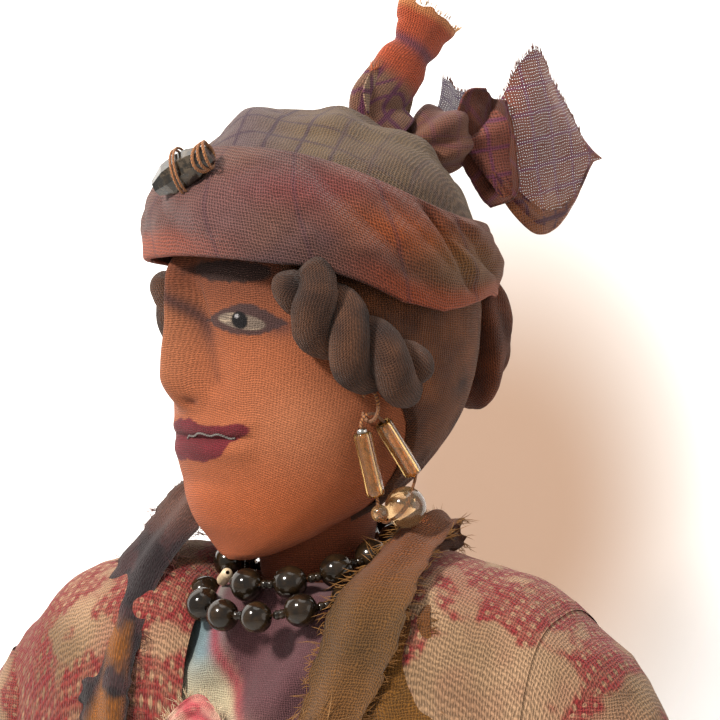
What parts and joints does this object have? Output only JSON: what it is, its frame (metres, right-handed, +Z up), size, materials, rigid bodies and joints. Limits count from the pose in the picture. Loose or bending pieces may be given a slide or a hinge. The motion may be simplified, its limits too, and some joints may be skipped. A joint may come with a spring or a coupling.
{
  "type": "rod puppet",
  "caption": "Strung rod puppet with a stitched knit face, twisted cloth hair, a knotted head wrap with frayed ends, bead jewellery, layered gauze clothes, strung arms and arm rods",
  "frame": {"origin": "centre of the flat foot of the central rod, by which the puppet is held", "axes": "+Z up along the central rod, +X towards the puppet's own left, and the chest faces -Y"},
  "size_m": [0.148, 0.1059, 0.5962],
  "materials": {
    "rod_wood": "turned, oiled",
    "carved_wood": "carved, left plain",
    "painted_hand": "carved and painted, satin",
    "face_knit": "ribbed knit stretched over the form, features painted on",
    "hair_knit": "dull stuffed knit",
    "wrap_gauze": "hand-dyed open gauze",
    "smoky_stone": "faceted and polished",
    "gold_tube": "gold-lined glass, glossy",
    "clear_bead": "clear glass, glossy",
    "thread": "waxed thread",
    "cord": "twisted cotton cord",
    "washer_leather": "oiled",
    "dark_bead": "smoky glass, glossy",
    "print_gauze": "cream gauze with a blotted crimson print",
    "patched_cotton": "dyed and patched cotton",
    "shawl_gauze": "frayed gauze",
    "skirt_cotton": "soft dyed cotton"
  },
  "bodies": {
    "rod_and_head": {"central_rod": "rod_wood", "neck_peg": "rod_wood", "head_core": "carved_wood", "face_cover": "face_knit", "hair_cap": "hair_knit", "hair_bun": "hair_knit", "hair_twist_left_a": "hair_knit", "hair_twist_left_b": "hair_knit", "hair_twist_right_a": "hair_knit", "hair_twist_right_b": "hair_knit", "wrap_band": "wrap_gauze", "wrap_crown": "wrap_gauze", "wrap_knot": "wrap_gauze", "wrap_end_rolled": "wrap_gauze", "wrap_end_fan": "wrap_gauze", "wrap_end_short": "wrap_gauze", "forehead_stone": "smoky_stone", "stone_thread": "thread", "ear_stitch_left": "thread", "ear_stitch_right": "thread"},
    "washer": {"grip_washer": "washer_leather"},
    "torso": {"torso_block": "carved_wood", "bodice": "patched_cotton", "jacket": "print_gauze", "sash": "patched_cotton", "skirt": "skirt_cotton", "shawl": "shawl_gauze", "necklace_upper": "dark_bead", "necklace_lower": "dark_bead"},
    "ear_drop_left": {"ear_drop_thread_left": "thread", "ear_drop_tube_front_left": "gold_tube", "ear_drop_tube_back_left": "gold_tube", "ear_drop_small_bead_left": "clear_bead", "ear_drop_round_bead_left": "clear_bead"},
    "shoulder_link_left": {"shoulder_cord_left": "cord"},
    "upper_arm_left": {"upper_arm_left": "carved_wood", "sleeve_upper_left": "print_gauze", "elbow_cord_left": "cord"},
    "forearm_left": {"forearm_left": "carved_wood", "sleeve_lower_left": "print_gauze", "wrist_cord_left": "cord"},
    "hand_left": {"hand_left": "painted_hand", "rod_tie_left": "cord"},
    "arm_rod_left": {"arm_rod_left": "rod_wood"},
    "ear_drop_right": {"ear_drop_thread_right": "thread", "ear_drop_tube_front_right": "gold_tube", "ear_drop_tube_back_right": "gold_tube", "ear_drop_small_bead_right": "clear_bead", "ear_drop_round_bead_right": "clear_bead"},
    "shoulder_link_right": {"shoulder_cord_right": "cord"},
    "upper_arm_right": {"upper_arm_right": "carved_wood", "sleeve_upper_right": "print_gauze", "elbow_cord_right": "cord"},
    "forearm_right": {"forearm_right": "carved_wood", "sleeve_lower_right": "print_gauze", "wrist_cord_right": "cord"},
    "hand_right": {"hand_right": "painted_hand", "rod_tie_right": "cord"},
    "arm_rod_right": {"arm_rod_right": "rod_wood"}
  },
  "joints": [
    {"name": "head_lift", "type": "slide", "parent": "rod_and_head", "child": "washer", "axis": [0, 0, 1], "range_m": [-0.012, 0]},
    {"name": "body_turn", "type": "hinge", "parent": "washer", "child": "torso", "pos_m": [0, 0, 0.366], "axis": [0, 0, 1], "range_deg": [-103, 47], "deforming": ["necklace_upper", "necklace_lower"]},
    {"name": "ear_drop_left_swing", "type": "hinge", "parent": "rod_and_head", "child": "ear_drop_left", "pos_m": [0.02187, -0.01616, 0.5127], "axis": [0.8829, -0.4695, 0], "range_deg": [-46, 12]},
    {"name": "arm_left_lift", "type": "hinge", "parent": "torso", "child": "shoulder_link_left", "pos_m": [0.062, 0, 0.464], "axis": [0, -1, 0], "range_deg": [0, 150]},
    {"name": "arm_left_swing", "type": "hinge", "parent": "shoulder_link_left", "child": "upper_arm_left", "pos_m": [0.062, 0, 0.459], "axis": [-1, 0, 0], "range_deg": [-30, 95]},
    {"name": "elbow_left_bend", "type": "hinge", "parent": "upper_arm_left", "child": "forearm_left", "pos_m": [0.062, 0, 0.366], "axis": [1, 0, 0], "range_deg": [-100, 0]},
    {"name": "wrist_left_bend", "type": "hinge", "parent": "forearm_left", "child": "hand_left", "pos_m": [0.062, 0, 0.286], "axis": [-1, 0, 0], "range_deg": [-45, 45]},
    {"name": "arm_rod_left_swing", "type": "hinge", "parent": "hand_left", "child": "arm_rod_left", "pos_m": [0.062, 0, 0.244], "axis": [-1, 0, 0], "range_deg": [-60, 60]},
    {"name": "ear_drop_right_swing", "type": "hinge", "parent": "rod_and_head", "child": "ear_drop_right", "pos_m": [-0.02563, 0.0091, 0.5127], "axis": [0.8829, -0.4695, 0], "range_deg": [-46, 12]},
    {"name": "arm_right_lift", "type": "hinge", "parent": "torso", "child": "shoulder_link_right", "pos_m": [-0.062, 0, 0.464], "axis": [0, -1, 0], "range_deg": [-150, 0]},
    {"name": "arm_right_swing", "type": "hinge", "parent": "shoulder_link_right", "child": "upper_arm_right", "pos_m": [-0.062, 0, 0.459], "axis": [1, 0, 0], "range_deg": [-95, 30]},
    {"name": "elbow_right_bend", "type": "hinge", "parent": "upper_arm_right", "child": "forearm_right", "pos_m": [-0.062, 0, 0.366], "axis": [-1, 0, 0], "range_deg": [0, 100]},
    {"name": "wrist_right_bend", "type": "hinge", "parent": "forearm_right", "child": "hand_right", "pos_m": [-0.062, 0, 0.286], "axis": [1, 0, 0], "range_deg": [-45, 45]},
    {"name": "arm_rod_right_swing", "type": "hinge", "parent": "hand_right", "child": "arm_rod_right", "pos_m": [-0.062, 0, 0.244], "axis": [1, 0, 0], "range_deg": [-60, 60]}
  ]
}
